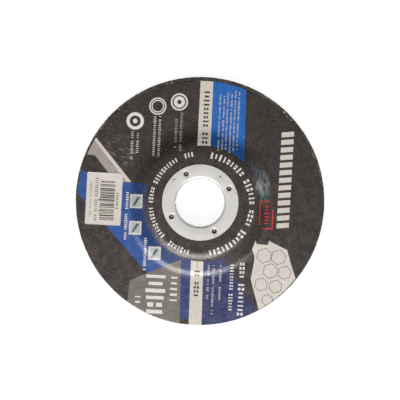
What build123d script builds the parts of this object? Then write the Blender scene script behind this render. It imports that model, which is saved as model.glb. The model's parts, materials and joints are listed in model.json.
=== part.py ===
from build123d import *
from math import atan2, sqrt, tan
import os

# A depressed-centre grinding disc, in millimetres, lying label side up on the work face of its rim.
# The origin is on the disc's axis at the resting plane. +Z points to the label side, and the middle of
# the disc is pressed up that way, so that the clamping nut sinks into the recess on the work side.

# Pressed abrasive section
disc_diameter = 115.0
disc_thickness = 3.0  # at the rim, with the label
hub_rise = 4.6  # from the rim up to the pressed-up middle
recess_diameter = 49.3  # flat ceiling of the recess on the work side
shoulder_run = 7.5  # radial length of the slope between hub and rim
bend_radius = 2.0  # on the tight side of each bend

# Printed label, pressed on with the abrasive and laid slightly off the axis
label_margin = 1.0  # bare abrasive left around a label that is laid true
label_thickness = 0.2
label_shift_x = -0.3
label_shift_y = -0.85

# Steel arbor ring: a flat flange on the label, turned down into a collar that lines the bore
bore_diameter = 22.23
flange_width = 6.4
sheet_thickness = 0.6
lip_bevel = 1.25  # where the flange turns down into the collar
nick_radius = 0.75  # a small nick in the collar's edge

# Locking holes, punched down through flange and label into the abrasive
lock_hole_count = 4
lock_hole_diameter = 2.1
lock_hole_inset = 2.85  # from the flange's edge to the middle of each hole
first_lock_angle = 26.0
mouth_bevel = 0.3
pit_depth = 1.3  # below the flange's underside

# Paper sticker on the label's rim
sticker_width = 16.4
sticker_height = 24.1
sticker_thickness = 0.1
sticker_corner_radius = 0.8
sticker_inset = 4.0  # from the label's edge to the sticker
sticker_offset_y = 1.4
sticker_turn = -3.3

# Values that follow from the sizes above
disc_radius = disc_diameter / 2
bore_radius = bore_diameter / 2
recess_radius = recess_diameter / 2
label_radius = disc_radius - label_margin
collar_radius = bore_radius + sheet_thickness
flange_radius = bore_radius + flange_width
body_thickness = disc_thickness - label_thickness
hub_top = hub_rise + disc_thickness
flange_top = hub_top + sheet_thickness
shoulder_angle = atan2(hub_rise, shoulder_run)
lock_hole_radius = lock_hole_diameter / 2
lock_circle_radius = flange_radius - lock_hole_inset
seat_bevel = lip_bevel - sheet_thickness * (2 - sqrt(2))  # keeps the sheet even round the lip
sticker_center_x = sticker_width / 2 + sticker_inset - label_radius


def hub_corner(height):
    """Section point where the hub's flat meets the slope, on the face this high above the work face."""
    return (recess_radius + height * tan(shoulder_angle / 2), hub_rise + height)


def foot_corner(height):
    """Section point where the slope meets the rim's flat, on the same face."""
    return (hub_corner(height)[0] + shoulder_run, height)


def hub_bend(height):
    return bend_radius + height


def foot_bend(height):
    return bend_radius + disc_thickness - height


def turned(lines):
    """Solid swept by a closed outline of radius and height around the disc's axis."""
    edges = [edge for line in lines for edge in line.edges()]
    return revolve(Plane.XZ * make_face(edges), Axis.Z)


def pressed_line(height, inner_radius, outer_radius):
    """Section line of the pressed form: hub flat, slope and rim flat, joined by round bends."""
    return FilletPolyline(
        (inner_radius, hub_rise + height),
        hub_corner(height),
        foot_corner(height),
        (outer_radius, height),
        radius=[hub_bend(height), foot_bend(height)],
    )


def pressed_sheet(low, high, inner_radius, outer_radius):
    """Even sheet that follows the pressed form, between two heights above the work face."""
    bottom = pressed_line(low, inner_radius, outer_radius)
    top = pressed_line(high, inner_radius, outer_radius)
    return turned([bottom, Line(bottom @ 1, top @ 1), top, Line(top @ 0, bottom @ 0)])


def upright_cylinder(radius, low, high):
    """Cylinder on the local Z axis from one height to another."""
    return Pos(0, 0, low) * Cylinder(radius, high - low, align=(Align.CENTER, Align.CENTER, Align.MIN))


def punch():
    """The punch's shape, from its mouth in the flange's top down to the bottom of the pit."""
    pit_floor = hub_top - pit_depth
    outline = Polyline(
        (0, pit_floor),
        (lock_hole_radius, pit_floor),
        (lock_hole_radius, flange_top - mouth_bevel),
        (lock_hole_radius + mouth_bevel, flange_top),
        (0, flange_top),
        close=True,
    )
    return turned([outline])


def punched(solid):
    """The solid with every locking hole punched into it."""
    step = 360 / lock_hole_count
    for index in range(lock_hole_count):
        turn = Rot(0, 0, first_lock_angle + step * index)
        solid -= turn * Pos(lock_circle_radius, 0) * punch()
    return solid


def flared(solid):
    """The solid with the mouth of its bore flared, as a seat for the ring's lip."""
    outline = Polyline(
        (0, hub_top - seat_bevel),
        (collar_radius, hub_top - seat_bevel),
        (collar_radius + seat_bevel, hub_top),
        (0, hub_top),
        close=True,
    )
    return solid - turned([outline])


def abrasive_body():
    """The pressed disc of bonded grain, with the ring's seat and the pits left by the punch."""
    return punched(flared(pressed_sheet(0, body_thickness, collar_radius, disc_radius)))


def face_label():
    """The printed label: a thin even sheet over the whole pressed form, trimmed round and off the axis."""
    label = pressed_sheet(body_thickness, disc_thickness, collar_radius, disc_diameter)
    trim = Pos(label_shift_x, label_shift_y) * upright_cylinder(label_radius, 0, flange_top)
    return punched(flared(label & trim))


def arbor_ring():
    """The pressed steel ring: collar, bevelled lip and punched flange, with a nick in the collar's edge."""
    section = Polyline(
        (bore_radius, hub_rise),
        (bore_radius, flange_top - lip_bevel),
        (bore_radius + lip_bevel, flange_top),
        (flange_radius, flange_top),
        (flange_radius, hub_top),
        (collar_radius + seat_bevel, hub_top),
        (collar_radius, hub_top - seat_bevel),
        (collar_radius, hub_rise),
        close=True,
    )
    nick_center_x = nick_radius - collar_radius
    return punched(turned([section])) - Pos(nick_center_x, 0) * upright_cylinder(nick_radius, 0, 2 * flange_top)


def paper_sticker():
    """The small paper sticker, lying on the label and following its surface."""
    height = disc_thickness + sticker_thickness
    sheet = pressed_sheet(disc_thickness, height, collar_radius, disc_diameter)
    outline = RectangleRounded(sticker_width, sticker_height, sticker_corner_radius)
    trim = extrude(outline, 2 * flange_top)
    return sheet & Pos(sticker_center_x, sticker_offset_y) * Rot(0, 0, sticker_turn) * trim


os.makedirs("parts", exist_ok=True)
for make in (abrasive_body, face_label, arbor_ring, paper_sticker):
    export_step(make(), f"parts/{make.__name__}.step")
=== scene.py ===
# %% [markdown]
# # A depressed-centre grinding disc
#
# The real thing is a pressed sandwich: abrasive grain in resin, a net of glass fibre on the work side, a printed
# label on the other, and a steel ring in the bore. All is laid flat in a mould, and one press pushes the middle
# up. This lesson works in the same order: each layer is made flat, at its height above the work face, and one
# shared node group bends it into the pressed form.
#
# The CAD frame comes first, because it fixes every size and place.

import json
from math import asin, ceil, cos, pi, radians, sin
from types import SimpleNamespace

import bmesh
import bpy
import numpy as np
from mathutils import Euler, Matrix, Vector
from mathutils.geometry import delaunay_2d_cdt

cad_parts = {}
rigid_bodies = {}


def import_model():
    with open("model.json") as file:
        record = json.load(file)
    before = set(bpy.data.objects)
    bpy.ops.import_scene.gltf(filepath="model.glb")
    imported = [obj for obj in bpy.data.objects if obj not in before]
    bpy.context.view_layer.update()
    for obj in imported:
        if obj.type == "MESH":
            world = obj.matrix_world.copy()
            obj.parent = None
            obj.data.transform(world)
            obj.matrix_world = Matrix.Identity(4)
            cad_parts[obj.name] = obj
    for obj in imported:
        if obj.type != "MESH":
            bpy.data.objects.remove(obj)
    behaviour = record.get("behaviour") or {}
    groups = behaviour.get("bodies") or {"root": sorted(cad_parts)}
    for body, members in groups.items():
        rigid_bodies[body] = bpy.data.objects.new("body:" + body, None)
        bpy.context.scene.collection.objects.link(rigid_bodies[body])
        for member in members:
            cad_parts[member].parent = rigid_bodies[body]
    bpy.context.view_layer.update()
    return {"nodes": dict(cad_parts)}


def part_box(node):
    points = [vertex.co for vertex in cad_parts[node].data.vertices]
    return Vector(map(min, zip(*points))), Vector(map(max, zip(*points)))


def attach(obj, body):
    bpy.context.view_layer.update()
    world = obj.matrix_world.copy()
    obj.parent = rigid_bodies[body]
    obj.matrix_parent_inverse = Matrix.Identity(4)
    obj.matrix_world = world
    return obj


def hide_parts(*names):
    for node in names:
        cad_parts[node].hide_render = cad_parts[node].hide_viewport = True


for leftover in list(bpy.data.objects):
    bpy.data.objects.remove(leftover)

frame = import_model()
mm = 0.001
for node_name in sorted(frame["nodes"]):
    low_corner, high_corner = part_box(node_name)
    print(node_name, [round(side / mm, 2) for side in high_corner - low_corner], "mm")

# %% [markdown]
# The sizes of the real disc, in metres. The label side looks up, the rim lies on the floor, and the disc's axis is
# the Z axis. The two bends are rounder than the CAD's, because the broad gleams of a real disc ask for it.

# %% Sizes of the disc
disc_radius = 57.5 * mm
disc_thickness = 3.0 * mm
hub_rise = 4.6 * mm  # how far the press lifts the middle
recess_radius = 24.65 * mm
shoulder_run = 7.5 * mm
hub_bend_radius = 7.0 * mm  # under the hub's edge, on the tight side of the bend
foot_bend_radius = 9.0 * mm  # on the label, at the foot of the slope
label_thickness = 0.2 * mm
body_top = disc_thickness - label_thickness
bore_radius = 11.115 * mm
sheet_thickness = 0.6 * mm
collar_radius = bore_radius + sheet_thickness
flange_radius = 17.515 * mm
hub_top = hub_rise + disc_thickness
flange_top = hub_top + sheet_thickness
label_radius = 56.5 * mm
label_center = (-0.3, -0.85)  # in millimetres, like all places of the print
lip_radius = 0.95 * mm  # of the ring's bend into the bore
seat_radius = lip_radius - sheet_thickness
print("hub top", round(hub_top / mm, 2), "mm, flange top", round(flange_top / mm, 2), "mm")

# %% [markdown]
# A node tree is a recipe, and these helpers keep it short. `add` makes a node in the tree on the desk: plain
# values fill its inputs in order, names with a capital fill inputs by name, and other names are settings. It gives
# back a `Value`, and sums and products of values become Math nodes. `new_tree` opens a Geometry Nodes tree whose
# named inputs are the sizes that a maker would want to change.

# %% Helpers for node trees
SOCKET_KINDS = {float: "NodeSocketFloat", int: "NodeSocketInt", type(None): "NodeSocketMaterial"}
desk = SimpleNamespace(tree=None)  # holds the tree that is being written


class Value:
    """What one output of a node gives."""

    def __init__(self, socket):
        self.socket = socket

    def beside(self, name):
        """Another output of the same node."""
        return Value(find(self.socket.node.outputs, name))

    def __add__(self, other):
        return calc("ADD", self, other)

    def __sub__(self, other):
        return calc("SUBTRACT", self, other)

    def __rsub__(self, other):
        return calc("SUBTRACT", other, self)

    def __mul__(self, other):
        return calc("MULTIPLY", self, other)

    def __truediv__(self, other):
        return calc("DIVIDE", self, other)


def plug(socket, value):
    """Link a socket to a value of another node, or set it to a plain one."""
    if isinstance(value, Value):
        desk.tree.links.new(value.socket, socket)
    else:
        socket.default_value = value


def find(sockets, name):
    """The socket in use under this name or number."""
    if isinstance(name, int):
        return sockets[name]
    return next(socket for socket in sockets if socket.name == name and socket.enabled)


def add(kind, *values, output=None, **named):
    """A new node with its inputs and settings. Returns the named output, or the first one in use."""
    node = desk.tree.nodes.new(kind)
    inputs = dict(enumerate(values))
    for name, value in named.items():
        if name[0].isupper():
            inputs[name.replace("_", " ")] = value
        else:
            setattr(node, name, value)
    for name, value in inputs.items():
        plug(find(node.inputs, name), value)
    if output is not None:
        return Value(find(node.outputs, output))
    return Value(next((socket for socket in node.outputs if socket.enabled), None))


def calc(operation, *values):
    """One step of arithmetic."""
    return add("ShaderNodeMath", *values, operation=operation)


def clamp(value, low, high):
    return calc("MINIMUM", calc("MAXIMUM", value, low), high)


def axes(vector):
    """The x, y and z of a vector."""
    node = add("ShaderNodeSeparateXYZ", vector).socket.node
    return [Value(socket) for socket in node.outputs]


def joined(x, y, z):
    """A vector from its x, y and z."""
    return add("ShaderNodeCombineXYZ", x, y, z)


def length_xy(x, y):
    return calc("SQRT", x * x + y * y)


def point_place():
    """The x, y and height of the point at hand, and its distance from the axis."""
    x, y, height = axes(add("GeometryNodeInputPosition"))
    return x, y, height, length_xy(x, y)


def placed(geometry, x, y, z):
    """A geometry with its points moved to these places."""
    return add("GeometryNodeSetPosition", geometry, Position=joined(x, y, z))


def merged(*parts):
    """Several geometries as one."""
    node = desk.tree.nodes.new("GeometryNodeJoinGeometry")
    for part in parts:
        plug(node.inputs[0], part)
    return Value(node.outputs[0])


def chance(kind, seed, **limits):
    """A random value for each element, from a fixed seed."""
    return add("FunctionNodeRandomValue", Seed=seed, data_type=kind, **limits)


def new_tree(name, **sizes):
    """Open a Geometry Nodes tree with named inputs. Returns its geometry and its sizes."""
    tree = desk.tree = bpy.data.node_groups.new(name, "GeometryNodeTree")
    tree.interface.new_socket("Geometry", in_out="INPUT", socket_type="NodeSocketGeometry")
    for title, value in sizes.items():
        socket = tree.interface.new_socket(title, in_out="INPUT", socket_type=SOCKET_KINDS[type(value)])
        if value is not None:
            socket.default_value = value
    tree.interface.new_socket("Geometry", in_out="OUTPUT", socket_type="NodeSocketGeometry")
    entry = tree.nodes.new("NodeGroupInput")
    values = {title: Value(find(entry.outputs, title)) for title in sizes}
    return Value(entry.outputs[0]), SimpleNamespace(**values)


def end_tree(geometry, material=None):
    """End the open tree with real geometry that carries its material. Returns the tree."""
    if material is not None:
        geometry = add("GeometryNodeRealizeInstances", geometry)
        geometry = add("GeometryNodeSetMaterial", geometry, Material=material)
    add("NodeGroupOutput", geometry)
    return desk.tree


def keep_result(piece):
    """Keep what an object's modifiers make as its plain mesh, at the origin."""
    graph = bpy.context.evaluated_depsgraph_get()
    mesh = bpy.data.meshes.new_from_object(piece.evaluated_get(graph))
    piece.modifiers.clear()
    piece.data = mesh
    mesh.name = piece.name
    print(piece.name, "has", sum(len(face.vertices) - 2 for face in mesh.polygons), "triangles")


def run_tree(piece, tree, **values):
    """Run a tree on an object, with other values for some of the tree's inputs, and keep the result."""
    modifier = piece.modifiers.new(tree.name, "NODES")
    modifier.node_group = tree
    for item in tree.interface.items_tree:
        if item.in_out == "INPUT" and item.name in values:
            modifier[item.identifier] = values[item.name]
    keep_result(piece)


# %% [markdown]
# ## The press
#
# The pressed form is a rule: flat hub, round bend, straight slope, round bend, flat rim, with every layer as thick
# round the bends as on the flats. So it is one node group, which lifts each point of a flat layer to its place. A
# point turns round a centre under the face on the hub's bend, and over it on the foot's bend. Clamping how far
# each bend has turned joins the five stretches without a switch.

# %% The press, as a node group
geometry, size = new_tree(
    "press_into_shape", HubRise=hub_rise, RecessRadius=recess_radius, ShoulderRun=shoulder_run,
    HubBend=hub_bend_radius, FootBend=foot_bend_radius, DiscThickness=disc_thickness,
)
x, y, height, radius = point_place()
slope = calc("ARCTAN2", size.HubRise, size.ShoulderRun)
slope_sine, slope_cosine = calc("SINE", slope), calc("COSINE", slope)
half_slope = calc("TANGENT", slope * 0.5)
far_bend = size.FootBend + size.DiscThickness
hub_start = size.RecessRadius - size.HubBend * half_slope
foot_end = size.RecessRadius + size.ShoulderRun + far_bend * half_slope
hub_bend = size.HubBend + height
foot_bend = far_bend - height


def cosine_of_turn(distance, bend):
    """Cosine of how far a bend has turned at this distance into it."""
    sine = clamp(distance / bend, 0.0, slope_sine)
    return calc("SQRT", 1.0 - sine * sine)


hub_part = hub_bend * cosine_of_turn(radius - hub_start, hub_bend)
foot_part = foot_bend * (slope_cosine - cosine_of_turn(foot_end - radius, foot_bend))
slope_start = hub_start + hub_bend * slope_sine
slope_end = foot_end - foot_bend * slope_sine
run = clamp(radius - slope_start, 0.0, slope_end - slope_start)
lifted = size.HubRise - size.HubBend + hub_part + foot_part - run * calc("TANGENT", slope)
press = end_tree(placed(geometry, x, y, lifted))
print(press.name, "has", len(press.nodes), "nodes")


def pressed(geometry):
    """The press, put into the open tree."""
    return add("GeometryNodeGroup", geometry, node_tree=press)


# %% [markdown]
# ## Colour and finish helpers
#
# Colours are written as red, green and blue from 0 to 255 and turned into the renderer's linear values. Every
# finish starts from the place of a point on the object in millimetres, so that grain and weave have real sizes.

# %% Helpers for materials
def colour(red, green, blue):
    """Linear colour with alpha from paint-chart values."""
    channels = [value / 255 for value in (red, green, blue)]
    linear = [c / 12.92 if c <= 0.04045 else ((c + 0.055) / 1.055) ** 2.4 for c in channels]
    return (*linear, 1.0)


def open_nodes(owner):
    """Open the empty node tree of a material or world."""
    owner.use_nodes = True
    desk.tree = owner.node_tree
    desk.tree.nodes.clear()


def new_finish(name, roughness, metallic=0.0, specular=0.5):
    """A material with one Principled shader. Returns it, the shader's inputs and the place in millimetres."""
    material = bpy.data.materials.new(name)
    open_nodes(material)
    shader = add("ShaderNodeBsdfPrincipled", Roughness=roughness, Metallic=metallic, Specular_IOR_Level=specular)
    add("ShaderNodeOutputMaterial", shader)
    place = add("ShaderNodeVectorMath", add("ShaderNodeTexCoord", output="Object"), Scale=1 / mm, operation="SCALE")
    return material, shader.socket.node.inputs, place


def mixed(share, first, second, kind="MIX"):
    """Two colours blended by a share from 0 to 1."""
    return add("ShaderNodeMix", Factor=share, A=first, B=second, data_type="RGBA", blend_type=kind)


def tinted(base, red, green, blue):
    """A colour with its channels multiplied."""
    return mixed(1.0, base, (red, green, blue, 1), "MULTIPLY")


def eased(value, low, high, start=0.0, end=1.0):
    """The value's way from low to high, as a soft step from start to end."""
    return add("ShaderNodeMapRange", value, low, high, start, end, interpolation_type="SMOOTHSTEP")


def speckle(place, size, detail=2.0, rough=0.5):
    """Noise whose lumps are about this size, in the unit of the place."""
    return add("ShaderNodeTexNoise", Vector=place, Scale=1 / size, Detail=detail, Roughness=rough, output="Fac")


def turned_place(place, angle=0.0, scale=(1, 1, 1)):
    """The place, turned and stretched."""
    return add("ShaderNodeMapping", Vector=place, Rotation=(0, 0, angle), Scale=scale)


def bumped(shader, height, depth, strength=1.0):
    """Relief of this depth in millimetres, where height runs from 0 to 1."""
    plug(shader["Normal"], add("ShaderNodeBump", Height=height, Strength=strength, Distance=depth * mm))


# %% [markdown]
# ## The bonded grain
#
# The body is aluminium oxide grain in dark resin. Close up, every grain has its own brown or grey, and a few
# freshly broken ones get a painted glint, a pale colour in place of a highlight. Voronoi cells stand for the
# grains:
# a cell's own colour picks the shade, and the distance to its middle makes the relief.

# %% Finish of the bonded grain
def grain_finish(name, dark, light, grain_size=0.75):
    material, shader, place = new_finish(name, roughness=0.7, specular=0.4)
    to_middle = add("ShaderNodeTexVoronoi", Vector=place, Scale=1 / grain_size)
    shade, glint, gloss = axes(to_middle.beside("Color"))
    patches, fine = speckle(place, 6.0, 3.0), speckle(place, 0.18)
    body = mixed(eased(shade * 0.6 + patches * 0.4, 0.25, 0.85), dark, light)
    # Painted glint: a few grains, picked at random, painted pale.
    body = mixed(calc("GREATER_THAN", glint, 0.965) * 0.75, body, colour(176, 165, 150))
    body = mixed(eased(fine, 0.35, 0.7, 0.0, 0.25), body, colour(24, 21, 19))
    plug(shader["Base Color"], body)
    plug(shader["Roughness"], eased(gloss, 0.0, 1.0, 0.42, 0.88))
    bumped(shader, 1.0 - to_middle + fine * 0.4, 0.16, 0.7)
    return material


bonded_grain = grain_finish("bonded_grain", colour(45, 41, 38), colour(92, 84, 75))
loose_grain = grain_finish("standing_grain", colour(50, 45, 41), colour(118, 106, 92), grain_size=0.9)
crushed_grain = grain_finish("crushed_grain", colour(158, 150, 142), colour(226, 218, 208), grain_size=0.5)
print("grain finishes:", bonded_grain.name, loose_grain.name, crushed_grain.name)

# %% [markdown]
# ## The abrasive body
#
# The body could be a lathe profile in the pressed form, but then grain and bends would be tangled up. It is made
# as the mould is filled, as a flat round slab, and the press does the rest. A real rim is broken from the mould
# and crumbles, so the tree first pushes it inwards by two sizes of noise. The section's steps are short at the rim
# and the bends, and its inner corner is a round seat for the ring.

# %% Making and cleaning meshes
def new_piece(name, points, faces=(), edges=()):
    mesh = bpy.data.meshes.new(name)
    mesh.from_pydata(points, edges, faces)
    piece = bpy.data.objects.new(name, mesh)
    bpy.context.scene.collection.objects.link(piece)
    return piece


def spun(name, section, segments):
    """A closed solid: a section of (radius, height) points, given anticlockwise, turned round the axis."""
    count = len(section)
    radius, height = np.array(section).T
    angle = np.linspace(0, 2 * pi, segments, endpoint=False)
    points = np.stack([np.outer(np.cos(angle), radius), np.outer(np.sin(angle), radius),
                       np.tile(height, (segments, 1))], -1).reshape(-1, 3)
    faces = []
    for index in range(segments):
        here, there = index * count, (index + 1) % segments * count
        for start in range(count):
            end = (start + 1) % count
            faces.append((here + start, there + start, there + end, here + end))
    return new_piece(name, points.tolist(), faces)


def smooth(piece, sharp_angle):
    piece.data.shade_smooth()
    piece.data.set_sharp_from_angle(angle=radians(sharp_angle))


def tidy_mesh(piece, sharp_angle=35):
    """Merge doubled points, drop slivers, point every face outwards and keep only real edges sharp."""
    work = bmesh.new()
    work.from_mesh(piece.data)
    bmesh.ops.remove_doubles(work, verts=work.verts, dist=1e-7)
    bmesh.ops.dissolve_degenerate(work, edges=work.edges, dist=1e-7)
    bmesh.ops.recalc_face_normals(work, faces=work.faces)
    work.to_mesh(piece.data)
    work.free()
    smooth(piece, sharp_angle)


def stations(*stops):
    """Distances from stop to stop. Each stop after the first brings the longest step allowed before it."""
    places = [stops[0]]
    for stop, step in stops[1:]:
        start = places[-1]
        count = max(1, ceil(abs(stop - start) / step - 1e-9))
        places += [start + (stop - start) * index / count for index in range(1, count + 1)]
    return places


# %% The flat slab
work_face = 0.16 * mm  # grain and net stand on it, down to the floor
grain_wall = disc_radius - 0.16 * mm  # and grain stands out from the rim
bend_start, bend_end = 22.5 * mm, 35.7 * mm
rim_band = 54.5 * mm

bottom_run = stations(collar_radius, (bend_start, 3 * mm), (bend_end, 0.5 * mm), (rim_band, 3 * mm),
                      (grain_wall - 0.15 * mm, 0.35 * mm))
wall_run = stations(work_face + 0.15 * mm, (body_top - 0.2 * mm, 0.3 * mm))
seat_turns = [asin(1 - label_thickness / seat_radius) * share for share in (1, 0.75, 0.5, 0.25, 0)]
seat = [(collar_radius + seat_radius * (1 - cos(turn)), disc_thickness - seat_radius * (1 - sin(turn)))
        for turn in seat_turns]
top_run = stations(grain_wall - 0.2 * mm, (rim_band, 0.35 * mm), (bend_end, 3 * mm), (bend_start, 0.5 * mm),
                   (seat[0][0] + 0.5 * mm, 4 * mm))
slab_section = [(radius, work_face) for radius in bottom_run] + [(grain_wall, height) for height in wall_run]
slab_section += [(radius, body_top) for radius in top_run] + seat
print(len(slab_section), "points in the slab's section")
abrasive = spun("pressed_abrasive", slab_section, 720)

# %% The tree that crumbles the rim and presses the body
geometry, size = new_tree("crumble_and_press", RimBand=rim_band, Breakout=0.18 * mm, GrainDepth=0.12 * mm,
                          Relief=0.07 * mm, Finish=None)
place = add("GeometryNodeInputPosition")
x, y, height, radius = point_place()
at_rim = calc("POWER", clamp((radius - size.RimBand) / (disc_radius - rim_band), 0.0, 1.0), 3.0)
coarse, fine = speckle(place, 5 * mm, 3.0), speckle(place, 0.7 * mm)
broken = clamp((coarse - 0.48) * 5.0, 0.0, 1.0)
depth = broken * size.Breakout + fine * size.GrainDepth
keep = 1.0 - depth * at_rim / radius
sunk = calc("SIGN", body_top / 2 - height) * (fine * size.Relief)
rough = placed(geometry, x * keep, y * keep, height + sunk * at_rim)
run_tree(abrasive, end_tree(pressed(rough), size.Finish), Finish=bonded_grain)
tidy_mesh(abrasive, 60)

# %% [markdown]
# ## Punching the locking holes
#
# Four blows of a punch lock the ring: each goes through steel and label and leaves a pit of crushed, paler grain.
# One punch shape cuts both layers here, as a Boolean cutter with a flared mouth, because steel is drawn down round
# a punched hole and never has a knife edge.

# %% The punch and the cut
lock_circle = 14.665 * mm
lock_angles = [radians(angle) for angle in (26, 116, 206, 296)]
lock_places = [(lock_circle * cos(angle), lock_circle * sin(angle)) for angle in lock_angles]
lock_hole_radius = 1.05 * mm
pit_floor = hub_top - 1.3 * mm


def make_punch(name, flare, top):
    """Four punches as one cutter, with a mouth that flares out to the top."""
    steps = [radians(angle) for angle in range(0, 91, 15)]
    mouth = [(lock_hole_radius + flare * (1 - cos(a)), top - flare * (1 - sin(a))) for a in steps]
    section = [(0, pit_floor), (lock_hole_radius, pit_floor), *mouth, (lock_hole_radius + flare, top + 1 * mm),
               (0, top + 1 * mm)]
    punch = spun(name, section, 40)
    tidy_mesh(punch)
    work = bmesh.new()
    for x, y in lock_places:
        copy = punch.data.copy()
        copy.transform(Matrix.Translation((x, y, 0)))
        work.from_mesh(copy)
    work.to_mesh(punch.data)
    work.free()
    return punch


def cut(piece, *cutters, finish=None):
    """Take the cutters out of a piece, keep the result as its mesh, and delete them."""
    for cutter in cutters:
        cutter.data.materials.append(finish or piece.data.materials[0])
        modifier = piece.modifiers.new("cut", "BOOLEAN")
        modifier.operation = "DIFFERENCE"
        modifier.solver = "EXACT"
        modifier.object = cutter
    keep_result(piece)
    for cutter in cutters:
        bpy.data.objects.remove(cutter)


cut(abrasive, make_punch("pit_punch", 0.05 * mm, hub_top), finish=crushed_grain)
tidy_mesh(abrasive, 60)
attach(abrasive, "root")
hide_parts("abrasive_body")

# %% [markdown]
# Crushed grain stays behind in each pit. A small ball on each of four helper points, flattened and lumped by
# noise, lets the middle of each hole look paler than its wall.

# %% Heaps of crushed grain in the pits
geometry, size = new_tree("heap_grain", HeapRadius=0.78 * mm, HeapHeight=0.45 * mm, Lumps=0.3 * mm,
                          Lowest=pit_floor - 0.05 * mm, Finish=None)
ball = add("GeometryNodeMeshIcoSphere", Radius=1.0, Subdivisions=4, output="Mesh")
balls = add("GeometryNodeInstanceOnPoints", geometry, Instance=ball,
            Scale=joined(size.HeapRadius, size.HeapRadius, size.HeapHeight))
balls = add("GeometryNodeRealizeInstances", balls)
push = (speckle(add("GeometryNodeInputPosition"), 0.5 * mm) - 0.5) * size.Lumps
push = add("ShaderNodeVectorMath", add("GeometryNodeInputNormal"), Scale=push, operation="SCALE")
lumpy = add("GeometryNodeSetPosition", balls, Offset=push)
x, y, height = axes(add("GeometryNodeInputPosition"))
lumpy = placed(lumpy, x, y, calc("MAXIMUM", height, size.Lowest))

heaps = new_piece("pit_crumbs", [(*spot, pit_floor) for spot in lock_places])
run_tree(heaps, end_tree(lumpy, size.Finish), Finish=crushed_grain)
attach(heaps, "root")

# %% [markdown]
# ## Loose grain on the work face and the rim
#
# The surface is thousands of angular grains, too many to model one by one. Geometry Nodes scatter points on a flat
# helper surface, at a least distance from each other, and put an eight-sided chip on each, turned and stretched at
# random with a fixed seed. The mould is flat, so a clamp flattens every grain that would stand out of it, and the
# press takes the rest into the pressed form.

# %% The tree that scatters grain
geometry, size = new_tree(
    "scatter_grain", Spacing=0.75 * mm, GrainSize=0.62 * mm, Lowest=0.012 * mm, Highest=disc_thickness,
    Outermost=disc_radius - 0.01 * mm, Innermost=0.0, Seed=1, Finish=None,
)
spots = add("GeometryNodeDistributePointsOnFaces", geometry, Distance_Min=size.Spacing, Density_Max=2.2 / mm**2,
            Seed=size.Seed, distribute_method="POISSON")
chip = add("GeometryNodeMeshUVSphere", Segments=4, Rings=2, Radius=0.5, output="Mesh")
turn = add("FunctionNodeEulerToRotation", chance("FLOAT_VECTOR", 7, Max=(6.28, 6.28, 6.28)))
stretch = chance("FLOAT_VECTOR", 8, Min=(0.55, 0.55, 0.45), Max=(1.25, 1.25, 1.0))
stretch = add("ShaderNodeVectorMath", stretch, Scale=size.GrainSize, operation="SCALE")
grain = add("GeometryNodeInstanceOnPoints", spots, Instance=chip, Rotation=turn, Scale=stretch)
grain = add("GeometryNodeRealizeInstances", grain)
x, y, height, radius = point_place()
keep = clamp(radius, size.Innermost, size.Outermost) / radius
grain = placed(grain, x * keep, y * keep, clamp(height, size.Lowest, size.Highest))
grain_tree = end_tree(pressed(grain), size.Finish)


def open_bands(name, *bands, segments=180):
    """A helper surface of open bands, each between two circles of (radius, height)."""
    points, faces = [], []
    for band in bands:
        start = len(points)
        points += [(radius * cos(2 * pi * i / segments), radius * sin(2 * pi * i / segments), height)
                   for radius, height in band for i in range(segments)]
        for here in range(segments):
            there = start + (here + 1) % segments
            faces.append((start + here, there, segments + there, start + segments + here))
    return new_piece(name, points, faces)


# %% Grain on the work face
work_band = ((collar_radius + 0.5 * mm, work_face), (grain_wall - 0.2 * mm, work_face))
work_grain = open_bands("work_face_grain", work_band)
run_tree(work_grain, grain_tree, Finish=loose_grain, Seed=3, Innermost=collar_radius + 0.05 * mm)
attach(work_grain, "root")

# %% [markdown]
# The rim gets finer grain, on its upright wall and on the narrow bare margin round the label.

# %% Grain on the rim
rim_wall = grain_wall - 0.1 * mm
rim_grain = open_bands("rim_grain", ((rim_wall, work_face), (rim_wall, body_top - 0.1 * mm)),
                       ((label_radius - 1.1 * mm, body_top), (grain_wall - 0.15 * mm, body_top)))
run_tree(rim_grain, grain_tree, Finish=loose_grain, Seed=5, Spacing=0.5 * mm, GrainSize=0.5 * mm,
         Highest=disc_thickness - 0.02 * mm)
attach(rim_grain, "root")

# %% [markdown]
# ## The glass-fibre net
#
# A net of glass thread in resin shows on the work face as a grid of squares. Each thread is a flat bundle that
# goes over one crossing thread and under the next, so its height follows a cosine, and the other set follows the
# opposite one. Geometry Nodes lay the lines, trim them to the disc and sweep a flat oval along them.

# %% The tree that lays the net
_, size = new_tree(
    "lay_net", Pitch=5.2 * mm, ThreadWidth=1.15 * mm, ThreadHeight=0.2 * mm, Weave=0.045 * mm, Height=0.165 * mm,
    Inner=collar_radius + 0.9 * mm, Outer=disc_radius - 0.8 * mm, Lines=23, Finish=None,
)
first = (size.Lines - 1) * 0.5 * size.Pitch * -1.0
starts = add("GeometryNodeMeshLine", Count=size.Lines, Start_Location=joined(0, first, 0),
             Offset=joined(0, size.Pitch, 0))
line = add("GeometryNodeCurvePrimitiveLine", Start=(-disc_radius, 0, 0), End=(disc_radius, 0, 0))
lines = add("GeometryNodeRealizeInstances", add("GeometryNodeInstanceOnPoints", starts, Instance=line))
lines = add("GeometryNodeResampleCurve", lines, Length=0.9 * mm, mode="LENGTH")
chain = add("GeometryNodeCurveToMesh", lines)
x, y, _, radius = point_place()
outside = calc("MAXIMUM", calc("GREATER_THAN", radius, size.Outer), calc("LESS_THAN", radius, size.Inner))
chain = add("GeometryNodeDeleteGeometry", chain, Selection=outside)
wave = calc("COSINE", (x + y) / size.Pitch * pi)
oval = add("GeometryNodeCurvePrimitiveCircle", Resolution=8, Radius=0.5, output="Curve")
oval = add("GeometryNodeTransform", oval, Scale=joined(size.ThreadWidth, size.ThreadHeight, 1.0))
sets = []
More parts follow.
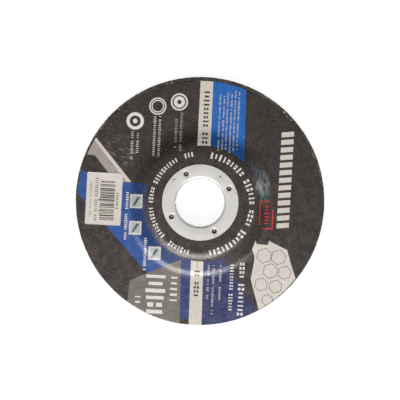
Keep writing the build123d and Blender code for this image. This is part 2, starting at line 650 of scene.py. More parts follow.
for quarter_turns, side in ((0, 1.0), (1, -1.0)):
    threads = placed(chain, x, y, size.Height + wave * size.Weave * side)
    threads = add("GeometryNodeMeshToCurve", threads)
    threads = add("GeometryNodeSetCurveNormal", threads, mode="Z_UP")
    threads = add("GeometryNodeCurveToMesh", threads, Profile_Curve=oval, Fill_Caps=True)
    sets.append(add("GeometryNodeTransform", threads, Rotation=Euler((0, 0, pi / 2 * quarter_turns))))
net_tree = end_tree(pressed(merged(*sets)), size.Finish)

# %% [markdown]
# The resin-soaked threads are darkened in patches by the grain that is pressed into them.

# %% Finish of the net, and the net itself
soaked_thread, shader, place = new_finish("resin_soaked_thread", roughness=0.55)
strands, patches = speckle(place, 0.25), speckle(place, 4.0, 3.0)
body = mixed(eased(strands, 0.35, 0.7), colour(58, 52, 46), colour(112, 103, 90))
plug(shader["Base Color"], mixed(eased(patches, 0.4, 0.62, 0.0, 0.7), body, colour(48, 44, 40)))
bumped(shader, strands, 0.05, 0.8)

net = new_piece("glass_net", [(0, 0, 0)])
run_tree(net, net_tree, Finish=soaked_thread)
tidy_mesh(net, 80)
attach(net, "root")

# %% [markdown]
# ## The printed label
#
# The label is one thin sheet with fields of colour printed on it. A picture could be projected on it, but here
# every field is real: its outline becomes edges of the mesh, and its triangles get their own ink. A later field
# covers an earlier one. All outlines are in millimetres from the disc's axis, X to the right and Y up, on the flat
# sheet before it is pressed.

# %% The printing plates
plates = []


def ink(name, *outline):
    """Lay one field of ink, given by its corners in millimetres."""
    plates.append((name, list(outline)))


def ink_box(name, left, right, low, high, lean=0.0):
    """Lay a box whose top leans sideways by this much."""
    ink(name, (left, low), (right, low), (right + lean, high), (left + lean, high))


def ring_points(radius, steps, center=(0.0, 0.0), turn=0.0, ragged=0.0, seed=0):
    """Points of a circle in millimetres, with an edge torn inwards by up to this much."""
    torn = radius - np.random.default_rng(seed).random(steps) * ragged
    angles = [turn + 2 * pi * i / steps for i in range(steps)]
    return [(center[0] + r * cos(a), center[1] + r * sin(a)) for r, a in zip(torn, angles)]


# %% Upper fields
ink("pale", (0.4, 58.5), (6.2, 58.5), (4.8, 24.1), (-1.4, 24.1))
ink("sky_blue", (6.2, 58.5), (21.5, 58.5), (20.1, 16.3), (4.7, 24.1))

# %% [markdown]
# The left side carries a blue field that dips to a point, with a pale band and a grey one beside it. Three plain
# squares stand in a slanting row on the blue, each with a paler middle and one dark stroke.

# %% Left fields
ink("deep_blue", (-58.5, 15.6), (-51.8, 13.9), (-35.2, 8.9), (-22.1, 8.8), (-5.2, -22.8), (-8.7, -26.3),
    (-24.5, -33.1), (-58.5, 6.4))
ink("light_grey", (-53.5, 25.6), (-51.4, 30.0), (-48.2, 28.0), (-33.6, 9.1), (-39.2, 9.1), (-42.5, 13.8),
    (-48.4, 21.5), (-51.9, 21.9))
ink("pale", (-50.7, 32.6), (-47.4, 29.2), (-31.6, 9.1), (-33.7, 9.1), (-48.2, 28.0), (-51.2, 30.4))
for left, low in ((-32.4, -2.8), (-33.0, -15.2), (-24.1, -26.9)):
    ink_box("pale", left, left + 5.8, low, low + 6.4, lean=0.3)
    ink_box("mist", left + 0.7, left + 5.2, low + 0.7, low + 5.7, lean=0.25)
    ink("dark_mist", (left + 1.2, low + 1.1), (left + 2.5, low + 1.1), (left + 4.9, low + 5.2),
        (left + 3.5, low + 5.2))

# %% Lower fields
ink("grey", (-34.4, -53.0), (-32.6, -36.4), (-24.6, -33.1), (-8.9, -26.6), (-8.5, -23.8), (-9.6, -58.5),
    (-34.6, -58.5))
ink("night_blue", (-8.7, -23.8), (-4.0, -23.8), (-5.4, -58.5), (-9.6, -58.5))
ink("black", (-9.4, -54.6), (-5.3, -54.6), (-5.4, -58.5), (-9.6, -58.5))
ink("pale", (-4.1, -22.8), (1.6, -22.8), (0.6, -58.5), (-5.4, -58.5))
ink("fading_blue", (1.6, -22.8), (0.6, -58.5), (32.0, -58.5), (26.6, -50.0), (21.6, -42.0), (16.5, -32.5),
    (12.0, -24.0))

# %% [markdown]
# On the right, a row of slanted bars stands in for the large band of print, and a pale panel carries a few hexagon
# outlines. None of them spells or shows anything.

# %% Right fields
bar_count = 13
for index in range(bar_count):
    share = index / (bar_count - 1)
    left, high = 37.5 - 2.2 * share, 31.9 - 42.0 * share
    ink("pale", (left, high), (left + 5.7, high + 0.4), (left + 5.6, high - 1.9), (left - 0.1, high - 2.3))

ink("panel", (25.5, -17.8), (24.0, -22.1), (25.1, -25.2), (24.9, -27.9), (23.4, -35.9), (23.7, -37.4),
    (27.1, -50.1), (29.0, -58.5), (52.0, -58.5), (44.1, -35.6), (42.3, -30.0), (40.2, -22.4), (32.6, -18.6),
    (31.9, -17.9), (31.3, -20.0), (26.2, -19.7))
hexagon_turn, hexagon_line = 0.3, 0.3
for x, y, radius in ((29.6, -25.0, 3.7), (36.2, -25.8, 3.7), (32.4, -32.2, 3.7), (39.0, -33.0, 3.3),
                     (28.2, -38.4, 3.3), (34.8, -39.4, 3.3), (31.0, -45.6, 2.8)):
    ink("line_grey", *ring_points(radius, 6, (x, y), hexagon_turn))
    ink("panel", *ring_points(radius - hexagon_line, 6, (x, y), hexagon_turn))

# %% [markdown]
# Three round badges and the printed hub come last, and a red frame lies over the hub's edge. A hair under the
# lamination shows as a thin dark line.

# %% Round badges, the printed hub and what lies over it
for x, y, *rings in ((-9.5, 45.9, 3.95, 3.2, 2.6, 1.0), (-19.4, 44.0, 3.95, 3.35, 2.9, 2.4),
                     (-29.8, 37.2, 4.0, 2.5)):
    for index, radius in enumerate(rings):
        ink("black" if index % 2 else "white", *ring_points(radius, 48, (x, y)))
ink("white", *ring_points(1.2, 6, (-29.8, 37.2), hexagon_turn))
ink("black", *ring_points(26.7, 160, (1.1, -0.6)))

frame_line = 0.45
ink("red", (27.4, 0.5), (32.2, 0.5), (32.2, 0.5 - frame_line), (27.4, 0.5 - frame_line))
ink("red", (27.3, 0.5), (27.3 + frame_line, 0.5), (26.9 + frame_line, -10.4), (26.9, -10.4))
ink("red", (33.4, -3.8), (33.4 + frame_line, -3.8), (32.9 + frame_line, -12.9), (32.9, -12.9))
ink("red", (28.6, -12.2), (33.4, -12.4), (33.4, -12.4 - frame_line), (28.6, -12.2 - frame_line))
ink("hair", (-1.45, -21.5), (-1.15, -21.5), (-1.4, -31.0), (-1.6, -31.0))
print(len(plates), "fields of ink")

# %% [markdown]
# Now the sheet. A constrained Delaunay triangulation takes all outlines, crossings and all, and fills the plane
# with triangles that respect every line. Rings at the bends give the press something to bend, and each triangle
# takes the ink of the last field that its middle lies in.

# %% Triangles between all the outlines
def inside(points, outline):
    """Which points lie in a closed outline."""
    x, y = points[:, 0], points[:, 1]
    found = np.zeros(len(points), bool)
    for (x0, y0), (x1, y1) in zip(outline, outline[1:] + outline[:1]):
        if y0 != y1:
            found ^= ((y0 > y) != (y1 > y)) & (x < x0 + (y - y0) * (x1 - x0) / (y1 - y0))
    return found


def filled(loops):
    """Corners, triangles and middles of the triangles of the plane between closed loops of points."""
    corners, edges = [], []
    for loop in loops:
        start = len(corners)
        corners += [Vector(point) for point in loop]
        edges += [(start + i, start + (i + 1) % len(loop)) for i in range(len(loop))]
    points, _, triangles, *_ = delaunay_2d_cdt(corners, edges, [], 0, 1e-5, False)
    points = np.array([tuple(point) for point in points])
    triangles = np.array(triangles)
    return points, triangles, points[triangles].mean(axis=1)


def sheet_piece(name, points, triangles, low, high):
    """A closed thin sheet from a flat triangulation in millimetres. Its first faces are the upper ones."""
    used = np.unique(triangles)
    renumber = np.full(len(points), -1)
    renumber[used] = np.arange(len(used))
    flat, triangles = points[used] * mm, renumber[triangles].tolist()
    count = len(flat)
    corners = [(x, y, height) for height in (high, low) for x, y in flat]
    directed = {edge for a, b, c in triangles for edge in ((a, b), (b, c), (c, a))}
    rims = [(b, a, a + count, b + count) for a, b in directed if (b, a) not in directed]
    lower = [(c + count, b + count, a + count) for a, b, c in triangles]
    return new_piece(name, corners, triangles + lower + sorted(rims))


# %% The label's own outline, holes and bends
label_edge = ring_points(label_radius / mm, 540, label_center, ragged=0.16, seed=4)
label_bore = ring_points((collar_radius + seat_radius) / mm, 120)
lock_holes = [ring_points(lock_hole_radius / mm, 24, (x / mm, y / mm)) for x, y in lock_places]
hub_rings = (22.66, 23.3, 23.9, 24.5, 25.1, 25.7, 26.3, 26.9, 27.4, 27.9)
foot_rings = (29.4, 30.84, 31.4, 32.0, 32.6, 33.2, 33.8, 34.4, 35.0, 35.54)
bend_rings = [ring_points(radius, 240) for radius in hub_rings + foot_rings]
flat_rings = [ring_points(radius, 90) for radius in (19.5, 38.0, 46.0, 52.0)]

points, triangles, middles = filled([label_edge, label_bore, *lock_holes, *bend_rings, *flat_rings,
                                     *[outline for _, outline in plates]])
on_label = inside(middles, label_edge)
for hole in (label_bore, *lock_holes):
    on_label &= ~inside(middles, hole)
triangles, middles = triangles[on_label], middles[on_label]
print("label:", len(triangles), "printed triangles")

# %% [markdown]
# ## Ink on a coarse sheet
#
# The label is printed on a fleece like felt, so no field is even: the ink is darker in the hollows, some patches
# lean to brown, pale specks show where it is missing, and thin scuffs cross it. One function makes all the inks.
# They are satin, so that the bends show a broad soft gleam. The black also carries a painted reflection, a pale
# streaky patch on the right of the slope, and real scratches on the rim.

# %% Painted reflection and wear of the black ink
def painted_slope_reflection(place, shade, strength=0.75):
    """Painted reflection on the right of the slope: a pale, mottled, streaky patch in place of a light mirrored in
    the satin ink.
    """
    patch_radius, patch_width, patch_angle, patch_reach = 29.6, 4.4, radians(19), radians(30)
    x, y, _ = axes(place)
    across = (length_xy(x, y) - patch_radius) / patch_width
    around = (calc("ARCTAN2", y, x) - patch_angle) / patch_reach
    patch = eased(length_xy(across, around), 0.35, 1.0, 1.0, 0.0)
    strands = speckle(turned_place(place, radians(-20), (1.5, 0.6, 1)), 2.2, 3.0, 0.7)
    # Colours of the painted reflection along the slope: greenish at its lower end, whitish in the middle, grey
    # above.
    upper = mixed(eased(around, -0.2, 0.4), colour(188, 188, 196), colour(92, 100, 108))
    tint = mixed(eased(around, -0.55, -0.25, 1.0, 0.0), upper, colour(116, 152, 142))
    return mixed(patch * eased(strands, 0.38, 0.62, 0.12, strength), shade, tint)


def scratched(place, shade, strength=0.5):
    """Thin pale scratches on the upper left of the rim, raked down to the right."""
    rake_angle, patch_reach = radians(-156), 10.0
    x, y, _ = axes(turned_place(place, rake_angle))
    patch = length_xy(y + 6.5, x - 42.5) / patch_reach
    scratches = speckle(turned_place(joined(x, y, 0), scale=(0.25, 1.9, 1)), 1.0, 1.0)
    share = eased(patch, 0.5, 1.0, strength, 0.0) * eased(scratches, 0.58, 0.67)
    return mixed(share, shade, colour(170, 162, 156))


# %% Finish of the inks
def ink_finish(name, tint, contrast=1.0, fade=None, wear_and_reflection=False, slope_shade=0.0):
    """An ink. It can fade to another tint along a line, show wear and a painted reflection, and be shaded on the
    slope.
    """
    material, shader, place = new_finish(f"ink_{name}", roughness=0.27, specular=0.75)
    fine = speckle(place, 0.75, 2.0, 0.7)
    threads = speckle(turned_place(place, scale=(1.6, 0.45, 1)), 0.5, 1.0)
    cloud = speckle(place, 4.0, 4.0, 0.6)
    streaks = speckle(turned_place(place, radians(35), (0.09, 1.3, 1)), 0.8)
    base = tint
    if fade is not None:
        fade_tint, start, end, turn = fade
        along, _, _ = axes(turned_place(place, turn))
        base = mixed(eased(along + cloud * 3.0, start, end), tint, fade_tint)
    if slope_shade > 0:
        x, y, _ = axes(place)
        base = mixed(eased(length_xy(x, y), 29.5, 34.5, slope_shade, 0.0), base, tinted(base, 0.3, 0.2, 0.15))
    base = mixed(eased(cloud, 0.48, 0.7, 0.0, 0.9 * contrast), base, tinted(base, 1.25, 0.95, 0.8))
    grain = threads * 0.35 + fine * 0.65
    darker = mixed(contrast, base, tinted(base, 0.35, 0.34, 0.33))
    lighter = mixed(contrast, base, tinted(base, 2.1, 2.1, 2.1))
    shade = mixed(eased(grain, 0.36, 0.64), darker, lighter)
    if wear_and_reflection:
        # A painted reflection on the right of the slope, and real scratches on the rim.
        shade = scratched(place, painted_slope_reflection(place, shade))
    spots = add("ShaderNodeTexVoronoi", Vector=place, Scale=1 / 1.5)
    gate = speckle(place, 11.0)
    missing = calc("LESS_THAN", spots, 0.13) * eased(gate, 0.45, 0.62)
    shade = mixed(missing * 0.3, shade, colour(215, 208, 198))
    scuffs = eased(streaks, 0.66, 0.78) * eased(gate, 0.3, 0.42, 0.25, 0.0)
    plug(shader["Base Color"], mixed(scuffs, shade, colour(190, 184, 176)))
    plug(shader["Roughness"], eased(cloud, 0.3, 0.7, 0.22, 0.34))
    plug(shader["Specular Tint"], (1.0, 0.93, 0.89, 1))
    bumped(shader, grain + cloud * 1.5, 0.08)
    return material


black_tint = colour(46, 41, 39)
plain_inks = {  # red, green, blue and contrast
    "white": (232, 227, 221, 0.08), "pale": (218, 209, 198, 0.1), "panel": (222, 214, 204, 0.08),
    "mist": (176, 186, 190, 0.15), "dark_mist": (84, 92, 96, 0.3), "night_blue": (36, 56, 112, 0.4),
    "grey": (121, 114, 107, 0.2), "light_grey": (166, 158, 150, 0.2), "line_grey": (104, 98, 92, 0.3),
    "hair": (36, 31, 28, 0.3), "red": (226, 40, 34, 0.3),
}
inks = {name: ink_finish(name, colour(*tint), contrast) for name, (*tint, contrast) in plain_inks.items()}
# The black ink carries the painted reflection on the slope and the real scratches on the rim.
inks["black"] = ink_finish("black", black_tint, wear_and_reflection=True)
inks["sky_blue"] = ink_finish("sky_blue", colour(20, 100, 184), 0.2, slope_shade=0.5)
inks["deep_blue"] = ink_finish("deep_blue", colour(36, 80, 152), 0.35, slope_shade=0.6)
to_black = (black_tint, -5.0, -1.0, radians(-31))
inks["fading_blue"] = ink_finish("fading_blue", colour(32, 46, 98), 0.4, fade=to_black)
print(len(inks), "inks")

# %% [markdown]
# The sheet's torn edge shows bare fleece. The upper faces take their inks by number, and the press gives the label
# its form.

# %% Fleece at the label's edge, and the label itself
fleece, shader, place = new_finish("label_fleece", roughness=0.8)
plug(shader["Base Color"], mixed(speckle(place, 0.4), colour(52, 48, 45), colour(108, 100, 92)))
label = sheet_piece("printed_label", points, triangles, body_top, disc_thickness)
ink_names = list(inks)
for material in (*inks.values(), fleece):
    label.data.materials.append(material)

face_ink = np.full(len(triangles), ink_names.index("black"))
for name, outline in plates:
    face_ink[inside(middles, outline)] = ink_names.index(name)
slots = np.full(len(label.data.polygons), len(ink_names), np.int32)
slots[: len(face_ink)] = face_ink
label.data.polygons.foreach_set("material_index", slots)

geometry, _ = new_tree("press_sheet")
run_tree(label, end_tree(pressed(geometry)))
smooth(label, 40)
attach(label, "root")
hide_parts("face_label")

# %% [markdown]
# ## Small print
#
# The small print is too fine to read here, and this disc spells nothing: plain strokes of ink stand where a
# printer would set text. Each line is an edge of a helper mesh that carries the height of its strokes as an
# attribute. One tree resamples the line at the stroke's pitch, drops some strokes as gaps between words, and
# presses the rest onto the sheet.

# %% The tree that sets lines of strokes
geometry, size = new_tree("set_strokes", PitchShare=0.62, GapShare=0.14, PairShare=0.3, WidthLow=0.3, WidthHigh=0.5,
                          InkDepth=0.035 * mm, Seed=1, Finish=None)
height = add("GeometryNodeInputNamedAttribute", "stroke_height", data_type="FLOAT")
pitch = height * size.PitchShare
line = add("GeometryNodeResampleCurve", add("GeometryNodeMeshToCurve", geometry), Length=pitch, mode="LENGTH")
turn = add("FunctionNodeAlignRotationToVector", Vector=add("GeometryNodeInputTangent"), axis="X", pivot_axis="Z")
width = chance("FLOAT", size.Seed, Min=size.WidthLow, Max=size.WidthHigh)
tall = chance("FLOAT", 12, Min=0.62, Max=1.0)
kept = chance("BOOLEAN", 13, Probability=1.0 - size.GapShare)
paired = chance("BOOLEAN", 15, Probability=size.PairShare)
pair_width, block_height, block_middle = 0.66, 0.4, 0.3  # shares of the pitch and of the stroke's height
bar = add("GeometryNodeMeshCube", Size=(1, 1, 1), Vertices_X=2, Vertices_Y=4, Vertices_Z=2)
block = add("GeometryNodeMeshCube", Size=(1, block_height, 1))
pair = merged(*[add("GeometryNodeTransform", block, Translation=(0, side * block_middle, 0)) for side in (1, -1)])
shapes = merged(*[add("GeometryNodeGeometryToInstance", shape) for shape in (pair, bar)])
width = width + paired * (pair_width - width)
strokes = add("GeometryNodeInstanceOnPoints", line, Selection=kept, Instance=shapes, Pick_Instance=True,
              Instance_Index=paired, Rotation=turn, Scale=joined(pitch * width, height * tall, size.InkDepth))
strokes = add("GeometryNodeRealizeInstances", strokes)
stroke_tree = end_tree(pressed(strokes), size.Finish)


def strokes_piece(name, lines, finish, height_above, **settings):
    """Strokes along lines. Each line is its stroke height, then its points in millimetres."""
    points, edges, heights = [], [], []
    for stroke_height, *path in lines:
        start = len(points)
        points += [(x * mm, y * mm, height_above) for x, y in path]
        edges += [(start + i, start + i + 1) for i in range(len(path) - 1)]
        heights += [stroke_height * mm] * len(path)
    piece = new_piece(name, points, edges=edges)
    piece.data.attributes.new("stroke_height", "FLOAT", "POINT").data.foreach_set("value", heights)
    run_tree(piece, stroke_tree, Finish=finish, **settings)
    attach(piece, "root")
    return piece


def uprights(*rows, print_lean=0.05):
    """Lines of strokes that run down the disc, askew by the lean of the whole print."""
    return [(height, (x, top), (x - print_lean * (top - bottom), bottom)) for height, x, top, bottom in rows]


def arc_line(stroke_height, radius, start, end, center, steps=60):
    """A line of strokes round a centre, from one angle to another."""
    angles = [radians(start + (end - start) * i / steps) for i in range(steps + 1)]
    return (stroke_height, *[(center[0] + radius * cos(a), center[1] + radius * sin(a)) for a in angles])


# %% Straight lines of print
pale_lines = uprights(  # stroke height, x, top and bottom
    (0.9, 9.4, 49.1, 24.0), (0.9, 11.2, 48.5, 23.7), (0.9, 12.9, 50.0, 24.3), (0.9, 14.7, 49.5, 23.0),
    (0.9, 16.4, 50.6, 23.1), (0.9, 18.1, 50.1, 24.3), (1.35, -18.3, 39.3, 20.4), (1.35, -20.6, 39.3, 20.7),
    (1.35, -28.5, 32.3, 22.8), (1.35, -31.0, 32.3, 19.8), (1.15, 4.0, -29.4, -45.0), (1.15, 6.4, -29.4, -52.0),
    (1.15, 9.6, -29.4, -45.6))
bold_lines = uprights((1.5, -33.4, 4.2, -3.0), (1.5, -34.1, -5.9, -17.2), (1.5, -25.1, -16.9, -31.3))
faded_lines = uprights((1.35, -8.4, 40.8, 23.7), (1.35, -10.8, 38.7, 25.3))
plain_lines = uprights((2.1, 14.8, -29.4, -50.1), (3.1, 19.6, -27.0, -52.2), (3.8, -12.0, -35.2, -45.7),
                       (3.2, -28.6, -39.2, -46.4))
large_lines = uprights((9.8, -20.4, -34.6, -51.0))
print(len(pale_lines + bold_lines + faded_lines + plain_lines + large_lines), "straight lines")

# %% [markdown]
# Two rings of strokes run round the printed hub, which was laid a little off the axis. The dark print stands on
# the two pale strips, the red one in the red frame.

# %% All print on the label
hub_lines = [arc_line(3.2, 22.7, 79, -81, center=(1.0, -0.8)), arc_line(2.5, 23.0, 100, 255, center=(0.3, -0.6))]
dark_lines = uprights((2.9, 3.2, 50.3, 25.6), (3.0, -1.4, -32.2, -45.3))
red_lines = uprights((2.3, 30.8, -2.2, -10.0))
over_label = disc_thickness + 0.008 * mm
bold = {"WidthLow": 0.45, "WidthHigh": 0.7, "GapShare": 0.06}
dense = {"WidthLow": 0.45, "WidthHigh": 0.6, "GapShare": 0.0, "PitchShare": 0.3}
for name, lines, ink_name, seed, height_above, settings in (
    ("pale_small_print", pale_lines, "pale", 21, over_label, {}),
    ("bold_small_print", bold_lines, "white", 23, over_label, bold),
    ("faded_small_print", faded_lines, "light_grey", 22, over_label, {}),
    ("pale_middle_print", plain_lines, "white", 17, over_label, {}),
    ("pale_large_print", large_lines, "white", 8, over_label, dense),
    ("hub_print", hub_lines, "white", 4, disc_thickness + 0.01 * mm, {}),
    ("dark_small_print", dark_lines, "black", 5, over_label, {}),
    ("red_print", red_lines, "red", 9, over_label, {"GapShare": 0.0}),
):
    piece = strokes_piece(name, lines, inks[ink_name], height_above, Seed=seed, **settings)

# %% [markdown]
# ## The arbor ring
#
# The ring is stamped from thin tinned steel: a flange, and a collar that turns down through the bore over a
# rounded lip. Both arcs of the lip have one centre, so the sheet keeps its thickness. The section is spun, the
# punch cuts the four holes, and a small cutter nicks the collar's edge. The finish is bright and slightly cloudy,
# with two dark specks, each in a faint stain.

# %% Finish of the tinned steel
tinned_steel, shader, place = new_finish("tinned_steel", roughness=0.36, metallic=0.6)
cloud, fine = speckle(place, 3.5, 3.0), speckle(place, 0.35, 2.0, 0.6)
base = mixed(eased(cloud, 0.3, 0.7), colour(229, 226, 222), colour(218, 216, 212))
base = mixed(eased(fine, 0.4, 0.75, 0.0, 0.3), base, colour(190, 187, 183))
for angle, radius, speck_size, depth in ((52.1, 15.1, 0.5, 0.9), (53.0, 14.2, 0.9, 0.16), (137.3, 15.8, 0.45, 0.85),
                                         (141.0, 16.2, 0.8, 0.25)):
    spot = (radius * cos(radians(angle)), radius * sin(radians(angle)), flange_top / mm)
    away = add("ShaderNodeVectorMath", place, spot, operation="DISTANCE", output="Value")
    speck = eased(away + fine * speck_size, speck_size * 0.8, speck_size * 1.8, depth, 0.0)
    base = mixed(speck, base, colour(70, 64, 60))
plug(shader["Base Color"], base)
plug(shader["Roughness"], eased(cloud, 0.3, 0.7, 0.34, 0.42))
bumped(shader, fine * 0.5 + cloud, 0.02, 0.4)

# %% The ring
edge, flange_middle = 0.08 * mm, 15.5 * mm
quarter = [radians(angle) for angle in range(0, 91, 9)]
lip_center = bore_radius + lip_radius
lip_height = flange_top - lip_radius
seat_arc = [(lip_center - seat_radius * cos(a), lip_height + seat_radius * sin(a)) for a in quarter]
lip_arc = [(lip_center - lip_radius * sin(a), lip_height + lip_radius * cos(a)) for a in quarter]
ring_section = [(bore_radius, hub_rise), (collar_radius, hub_rise), *seat_arc, (flange_radius, hub_top),
                (flange_radius, flange_top - edge), (flange_radius - edge, flange_top), (flange_middle, flange_top),
                *lip_arc]
ring = spun("pressed_arbor_ring", ring_section, 256)
ring.data.materials.append(tinned_steel)
nick_radius, nick_low, nick_high = 0.75 * mm, 4 * mm, 9 * mm
nick = spun("nick", [(0, nick_low), (nick_radius, nick_low), (nick_radius, nick_high), (0, nick_high)], 24)
tidy_mesh(nick)
nick.data.transform(Matrix.Translation((nick_radius - collar_radius, 0, 0)))
cut(ring, make_punch("flange_punch", 0.32 * mm, flange_top), nick)
tidy_mesh(ring, 30)
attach(ring, "root")
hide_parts("arbor_ring")

# %% [markdown]
# ## The paper sticker
#
# A shop sticker of thin paper lies on the rim, a little askew. It is a closed sheet like the label, and its
# corners have begun to lift. The bars say nothing: their thickness is random with a fixed seed.

# %% Finish of the paper
def paper_finish(name, light, dark):
    material, shader, place = new_finish(name, roughness=0.62, specular=0.35)
    fibre = speckle(turned_place(place, radians(20), (0.5, 1.6, 1)), 0.5, 3.0, 0.6)
    shade = fibre * 0.5 + speckle(place, 5.0, 3.0) * 0.5
    plug(shader["Base Color"], mixed(eased(shade, 0.35, 0.65), dark, light))
    bumped(shader, fibre, 0.02, 0.5)
    return material


sticker_paper = paper_finish("sticker_paper", colour(230, 222, 212), colour(219, 211, 201))
sticker_ink = paper_finish("sticker_ink", colour(96, 88, 82), colour(70, 64, 60))
faded_ink = paper_finish("faded_ink", colour(168, 150, 138), colour(140, 122, 112))

# %% The sticker
sticker_x, sticker_y = -44.3, 1.4  # its middle, in millimetres
sticker_width, sticker_height = 16.4, 24.1
turn_cosine, turn_sine = cos(radians(-3.3)), sin(radians(-3.3))
sticker_top = disc_thickness + 0.1 * mm


def on_sticker(x, y):
    """Where a point of the sticker, measured from its own middle, lies on the disc."""
    return (sticker_x + x * turn_cosine - y * turn_sine, sticker_y + x * turn_sine + y * turn_cosine)


def sticker_loop(corner, share=1.0, steps=6):
    """The sticker's outline, or a smaller loop inside it, with round corners."""
    outline = []
    for quarter_turn, (side_x, side_y) in enumerate(((1, 1), (-1, 1), (-1, -1), (1, -1))):
        for i in range(steps + 1):
            angle = pi / 2 * (quarter_turn + i / steps)
            x = side_x * (sticker_width / 2 - corner) + corner * cos(angle)
            y = side_y * (sticker_height / 2 - corner) + corner * sin(angle)
            outline.append(on_sticker(x * share, y * share))
    return outline


inner_loops = [sticker_loop(2.0, share) for share in (0.97, 0.9, 0.8, 0.6, 0.4, 0.2)]
paper_points, paper_triangles, _ = filled([sticker_loop(0.8), *inner_loops])
sticker = sheet_piece("shop_sticker", paper_points, paper_triangles, disc_thickness, sticker_top)
sticker.data.materials.append(sticker_paper)


def lift_of_paper(x, y):
    """How far the paper has come off the label here: its corners and both long sides curl a little."""
    x, y = x - sticker_x, y - sticker_y
    across = abs(x * turn_cosine + y * turn_sine) / (sticker_width / 2)
    along = abs(y * turn_cosine - x * turn_sine) / (sticker_height / 2)
    return 0.28 * (across * along) ** 5 + 0.05 * max(0.0, across - 0.8)


for vertex in sticker.data.vertices:
    vertex.co.z += lift_of_paper(vertex.co.x / mm, vertex.co.y / mm) * mm
smooth(sticker, 40)
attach(sticker, "root")
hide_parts("paper_sticker")

# %% Bars on the sticker
bars_rng = np.random.default_rng(6)
bar_points, bar_faces, high = [], [], 8.2
while high > -10.4:
    thick, gap = bars_rng.choice([0.18, 0.36, 0.54, 0.72], 2, p=[0.4, 0.3, 0.2, 0.1])
    left, right = -1.8 if bars_rng.random() < 0.86 else -2.4, 4.9
    start = len(bar_points)
    low = high - thick
    corners = [on_sticker(x, y) for x, y in ((left, low), (right, low), (right, high), (left, high))]
    bar_points += [(x * mm, y * mm, height) for height in (sticker_top - 0.03 * mm, sticker_top + 0.012 * mm)
                   for x, y in corners]
    bar_faces += [(start + 4, start + 5, start + 6, start + 7), (start + 3, start + 2, start + 1, start)]
    bar_faces += [(start + i, start + (i + 1) % 4, start + 4 + (i + 1) % 4, start + 4 + i) for i in range(4)]
    high -= thick + gap
bars = new_piece("sticker_bars", bar_points, bar_faces)
bars.data.materials.append(sticker_ink)
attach(bars, "root")
print(len(bar_points) // 8, "bars")

# %% Lines of strokes on the sticker
for name, stroke_height, x, top, bottom, finish, settings in (
    ("sticker_marks", 1.6, -3.6, 9.2, -9.8, sticker_ink,
     {"Seed": 31, "WidthLow": 0.25, "WidthHigh": 0.36, "PairShare": 0.2}),
    ("sticker_bold_marks", 1.6, 6.3, 2.9, -4.1, sticker_ink,
     {"Seed": 33, "GapShare": 0.06, "WidthLow": 0.4, "WidthHigh": 0.55}),
    ("sticker_faded_marks", 1.2, -6.2, 7.2, -8.4, faded_ink, {"Seed": 32}),
):
    line = (stroke_height, on_sticker(x, top), on_sticker(x, bottom))
    piece = strokes_piece(name, [line], finish, sticker_top + 0.004 * mm, InkDepth=0.02 * mm, **settings)

# %% [markdown]
# ## Floor, light and camera
#
# The disc lies on a white floor, and the camera sees white all round. Floor and world light the object at the
# level at which a colour shows as it was written, and the floor still takes a share of real light, so the disc's
# shadow stays on it. What satin ink and steel mirror is a studio: white at the horizon and towards the viewer, a
# pale band high up, and a dim ceiling.

# %% Floor and world
def background_rays():
    """1 for the camera's rays, and 1 for rays that are mirrored or go through clear pieces."""
    by_camera = add("ShaderNodeLightPath", output="Is Camera Ray")
    return by_camera, calc("MAXIMUM", by_camera.beside("Is Glossy Ray"), by_camera.beside("Is Transmission Ray"))


floor = new_piece("floor", [(-2, -2, 0), (2, -2, 0), (2, 2, 0), (-2, 2, 0)], [(0, 1, 2, 3)])
studio_floor = bpy.data.materials.new("studio_floor")
open_nodes(studio_floor)
seen = calc("MAXIMUM", *background_rays())
white = add("ShaderNodeEmission", Color=(1, 1, 1, 1), Strength=seen * 0.92)
matt = add("ShaderNodeBsdfDiffuse", Color=mixed(seen, (0.9, 0.9, 0.9, 1), (0.13, 0.13, 0.13, 1)))
add("ShaderNodeOutputMaterial", add("ShaderNodeAddShader", white, matt))
floor.data.materials.append(studio_floor)

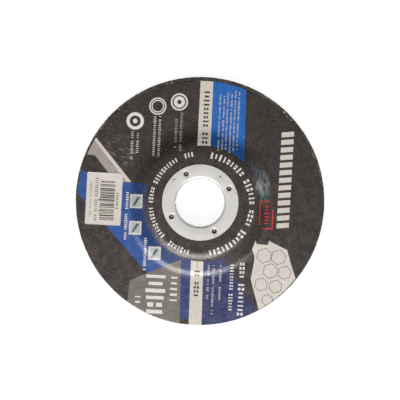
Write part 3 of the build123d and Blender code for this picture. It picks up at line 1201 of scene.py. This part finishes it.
world = bpy.data.worlds.new("studio")
bpy.context.scene.world = world
open_nodes(world)
plain_level = 0.3  # of the light that the object gets from all sides
by_camera, mirrored = background_rays()
_, y, z = axes(add("ShaderNodeTexCoord", output="Generated"))
horizon = eased(z, 0.05, 0.18, 1.0, 0.0)
front = eased(y, -0.85, -0.6, 1.0, 0.0)
band = eased(z, 0.62, 0.8) * eased(z, 0.8, 0.97, 0.9, 0.0) * eased(y, 0.1, 0.45, 1.0, 0.3)
ceiling = eased(y, 0.3, 0.8, 0.26, 0.05)
studio = calc("MAXIMUM", calc("MAXIMUM", horizon, front), calc("MAXIMUM", band, ceiling))
strength = calc("MAXIMUM", by_camera, mirrored * (studio - plain_level) + plain_level)
add("ShaderNodeOutputWorld", add("ShaderNodeBackground", (1, 1, 1, 1), strength))

# %% [markdown]
# One soft box shapes the form. It stands beyond the lower edge of the picture, mirrors in the lower half of both
# bends and in the upper half of the ring's lip, and leaves the upper slope dark. Its brightness is a radiance,
# where 1 is white paper in plain light.

# %% Soft box
box_width, box_depth, box_distance, box_radiance = 0.95, 0.6, 1.5, 9.6
azimuth, elevation = radians(-97), radians(56)
lamp = bpy.data.lights.new("key_soft_box", "AREA")
lamp.shape = "RECTANGLE"
lamp.size, lamp.size_y = box_width, box_depth
lamp.energy = box_radiance * pi * box_width * box_depth
soft_box = bpy.data.objects.new("key_soft_box", lamp)
bpy.context.scene.collection.objects.link(soft_box)
toward_box = Vector((cos(azimuth) * cos(elevation), sin(azimuth) * cos(elevation), sin(elevation)))
soft_box.location = toward_box * box_distance
soft_box.rotation_mode = "QUATERNION"
soft_box.rotation_quaternion = toward_box.to_track_quat("Z", "Y")
print("soft box:", round(lamp.energy, 2), "W")

# %% [markdown]
# The camera looks almost straight down, leaning 4 degrees towards the top of the picture. Its basis is built from
# the view direction and the disc's Y axis, which points up in the picture.

# %% Camera
camera_data = bpy.data.cameras.new("camera")
camera_data.sensor_width = 36.0
camera_data.lens = 156.3
camera = bpy.data.objects.new("camera", camera_data)
bpy.context.scene.collection.objects.link(camera)
bpy.context.scene.camera = camera

camera_distance = 0.8
toward_camera = Vector((-0.009, 0.075, 0.997)).normalized()
aim = Vector((-0.06 * mm, 0.80 * mm, disc_thickness))
picture_right = Vector((0, 1, 0)).cross(toward_camera).normalized()
picture_up = toward_camera.cross(picture_right)
basis = Matrix((picture_right, picture_up, toward_camera)).transposed()
camera.matrix_world = Matrix.Translation(aim + toward_camera * camera_distance) @ basis.to_4x4()
bpy.context.scene.view_settings.view_transform = "Standard"
